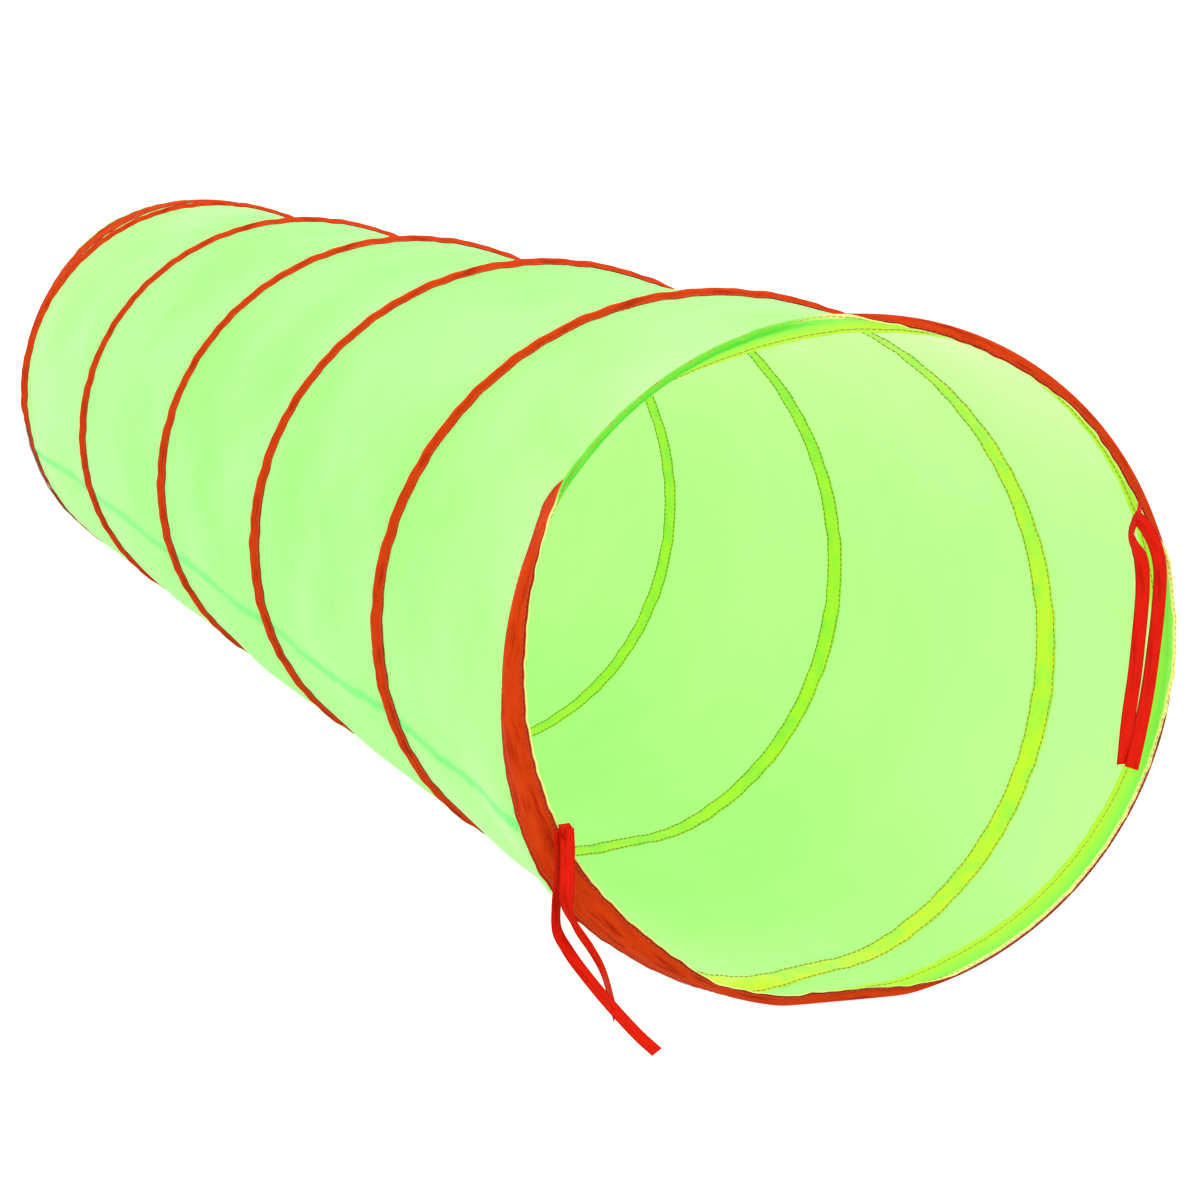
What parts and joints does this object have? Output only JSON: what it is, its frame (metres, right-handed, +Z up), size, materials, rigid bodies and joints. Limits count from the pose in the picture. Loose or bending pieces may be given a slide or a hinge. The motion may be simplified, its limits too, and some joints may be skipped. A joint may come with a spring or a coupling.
{
  "type": "agility tunnel",
  "caption": "Pop-up fabric tunnel for dogs and cats to run through, held open by a helical spring wire and pressed flat for storage, with tie ribbons at its mouth.",
  "frame": {"origin": "on the floor, under the middle of the tunnel", "axes": "+X along the tunnel to the front mouth, the one with the tie ribbons; +Y to the right for someone who looks in at the front mouth; +Z up"},
  "size_m": [1.8487, 0.46, 0.4565],
  "materials": {
    "lime_fabric": "thin translucent lime-green polyester, plain weave",
    "hem_fabric": "the same lime-green polyester, folded double",
    "binding_tape": "red-orange woven polyester binding tape, matt",
    "tie_ribbon": "red polyester ribbon, slightly shiny",
    "spring_steel": "hardened spring wire",
    "crimp_metal": "crimped sleeve"
  },
  "bodies": {
    "front_ring": {"front_ring_wire": "spring_steel", "front_crimp_sleeve": "crimp_metal", "front_mouth_hem": "hem_fabric", "front_mouth_binding": "binding_tape", "left_tie_tack": "tie_ribbon", "right_tie_tack": "tie_ribbon", "left_tie_tail_front": "tie_ribbon", "left_tie_tail_back": "tie_ribbon", "right_tie_tail_inner": "tie_ribbon", "right_tie_tail_outer": "tie_ribbon", "fabric_bay_1": "lime_fabric", "side_seam_1": "hem_fabric", "coil_wire_1": "spring_steel", "binding_tape_1": "binding_tape"},
    "turn_2": {"fabric_bay_2": "lime_fabric", "side_seam_2": "hem_fabric", "coil_wire_2": "spring_steel", "binding_tape_2": "binding_tape"},
    "turn_3": {"fabric_bay_3": "lime_fabric", "side_seam_3": "hem_fabric", "coil_wire_3": "spring_steel", "binding_tape_3": "binding_tape"},
    "turn_4": {"fabric_bay_4": "lime_fabric", "side_seam_4": "hem_fabric", "coil_wire_4": "spring_steel", "binding_tape_4": "binding_tape"},
    "turn_5": {"fabric_bay_5": "lime_fabric", "side_seam_5": "hem_fabric", "coil_wire_5": "spring_steel", "binding_tape_5": "binding_tape"},
    "rear_ring": {"rear_ring_wire": "spring_steel", "rear_crimp_sleeve": "crimp_metal", "rear_mouth_hem": "hem_fabric", "rear_mouth_binding": "binding_tape"}
  },
  "joints": [
    {"name": "press_bay_1", "type": "slide", "parent": "front_ring", "child": "turn_2", "axis": [1, 0, 0], "range_m": [0, 0.34], "stiffness_N_per_m": 60, "springref_m": -0.05, "deforming": ["fabric_bay_1", "side_seam_1", "coil_wire_1", "binding_tape_1", "front_ring_wire", "front_mouth_hem", "front_mouth_binding"]},
    {"name": "press_bay_2", "type": "slide", "parent": "turn_2", "child": "turn_3", "axis": [1, 0, 0], "range_m": [0, 0.34], "stiffness_N_per_m": 60, "springref_m": -0.05, "deforming": ["fabric_bay_2", "side_seam_2", "coil_wire_2", "binding_tape_2"]},
    {"name": "press_bay_3", "type": "slide", "parent": "turn_3", "child": "turn_4", "axis": [1, 0, 0], "range_m": [0, 0.34], "stiffness_N_per_m": 60, "springref_m": -0.05, "deforming": ["fabric_bay_3", "side_seam_3", "coil_wire_3", "binding_tape_3"]},
    {"name": "press_bay_4", "type": "slide", "parent": "turn_4", "child": "turn_5", "axis": [1, 0, 0], "range_m": [0, 0.376], "stiffness_N_per_m": 60, "springref_m": -0.05, "deforming": ["fabric_bay_4", "side_seam_4", "coil_wire_4", "binding_tape_4"]},
    {"name": "press_bay_5", "type": "slide", "parent": "turn_5", "child": "rear_ring", "axis": [1, 0, 0], "range_m": [0, 0.304], "stiffness_N_per_m": 60, "springref_m": -0.05, "deforming": ["fabric_bay_5", "side_seam_5", "coil_wire_5", "binding_tape_5", "rear_ring_wire", "rear_mouth_hem", "rear_mouth_binding"]}
  ]
}
